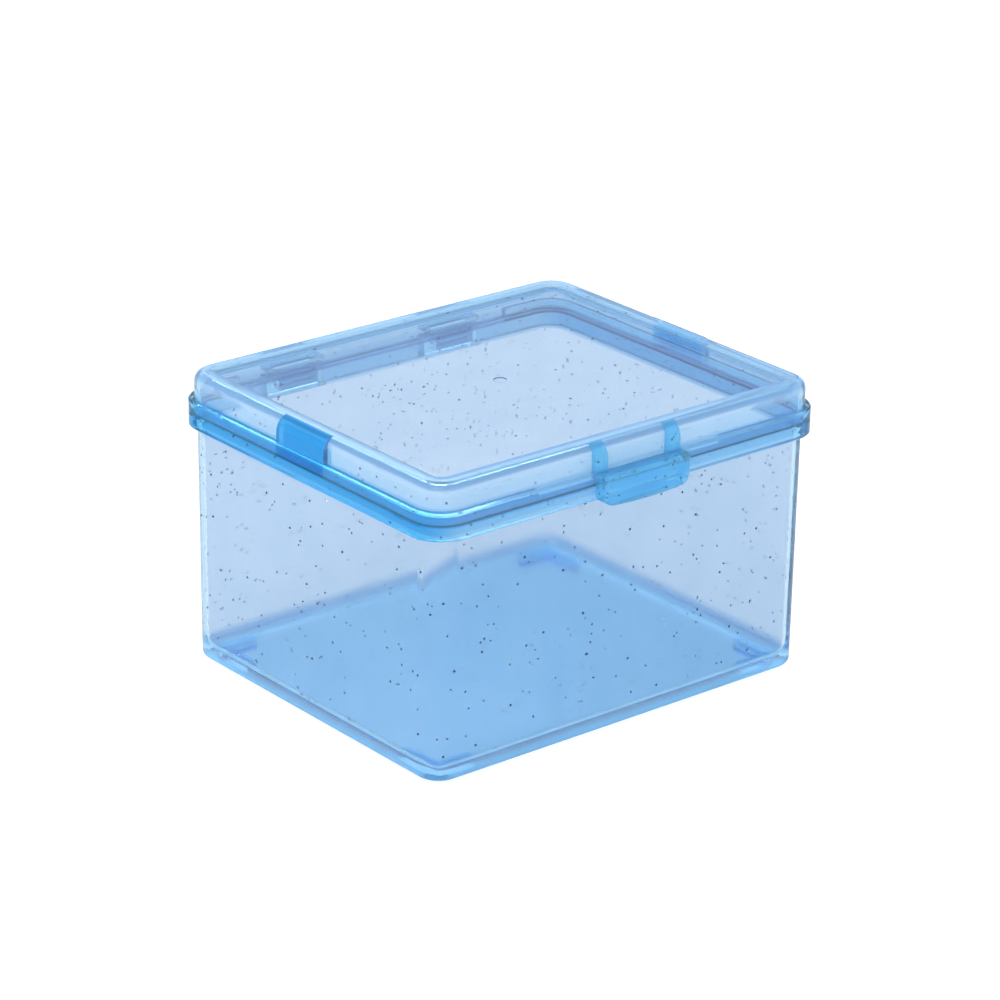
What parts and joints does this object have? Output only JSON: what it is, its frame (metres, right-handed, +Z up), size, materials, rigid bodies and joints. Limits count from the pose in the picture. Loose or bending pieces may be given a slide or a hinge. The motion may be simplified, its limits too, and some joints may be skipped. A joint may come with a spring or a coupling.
{
  "type": "storage box",
  "caption": "Small clear plastic box with a lid hinged at the back and a sprung latch in front, for cards kept upright.",
  "frame": {"origin": "on the table under the middle of the box, level with the soles of the feet", "axes": "+X along the front to the right, +Y to the hinges at the back, +Z up"},
  "size_m": [0.095, 0.0856, 0.06],
  "materials": {
    "box_plastic": "polished, see-through pale blue plastic with small dark and silver flakes moulded in",
    "lid_plastic": "polished, see-through pale blue plastic with small dark and silver flakes moulded in",
    "latch_plastic": "polished, see-through blue plastic, deeper in colour where it is thick"
  },
  "bodies": {
    "box": {"box_body": "box_plastic"},
    "lid": {"lid": "lid_plastic"},
    "latch": {"latch_clip": "latch_plastic"}
  },
  "joints": [
    {"name": "lid_hinge", "type": "hinge", "parent": "box", "child": "lid", "pos_m": [0, 0.0405, 0.0518], "axis": [-1, 0, 0], "range_deg": [0, 110]},
    {"name": "latch_flex", "type": "hinge", "parent": "lid", "child": "latch", "pos_m": [0, -0.0377, 0.05981], "axis": [-1, 0, 0], "range_deg": [0, 8], "stiffness_Nm_per_rad": 0.1}
  ]
}
